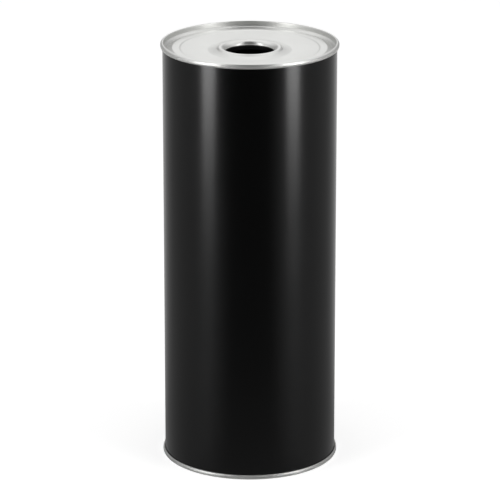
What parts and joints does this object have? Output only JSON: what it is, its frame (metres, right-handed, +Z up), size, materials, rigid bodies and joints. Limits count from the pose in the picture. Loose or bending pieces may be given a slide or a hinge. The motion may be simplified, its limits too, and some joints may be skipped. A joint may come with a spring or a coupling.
{
  "type": "oil tin",
  "caption": "Tall round oil tin: black lacquered body with bright double-seamed ends, and a recessed lid with a neck that takes a press-in pouring spout.",
  "frame": {"origin": "centre of the ring that the tin stands on, at the bottom of its bottom seam", "axes": "+Z up along the tin's axis, towards the spout hole; the side seam of the body is at +Y"},
  "size_m": [0.0858, 0.0858, 0.208],
  "materials": {
    "black_lacquer": "satin black lacquer over tinned steel",
    "tinplate": "bright tinned steel with fine rolling lines",
    "seam_compound": "matt"
  },
  "bodies": {
    "root": {"can_body": "black_lacquer", "top_end": "tinplate", "bottom_end": "tinplate", "top_seam_compound": "seam_compound", "bottom_seam_compound": "seam_compound"}
  },
  "joints": []
}
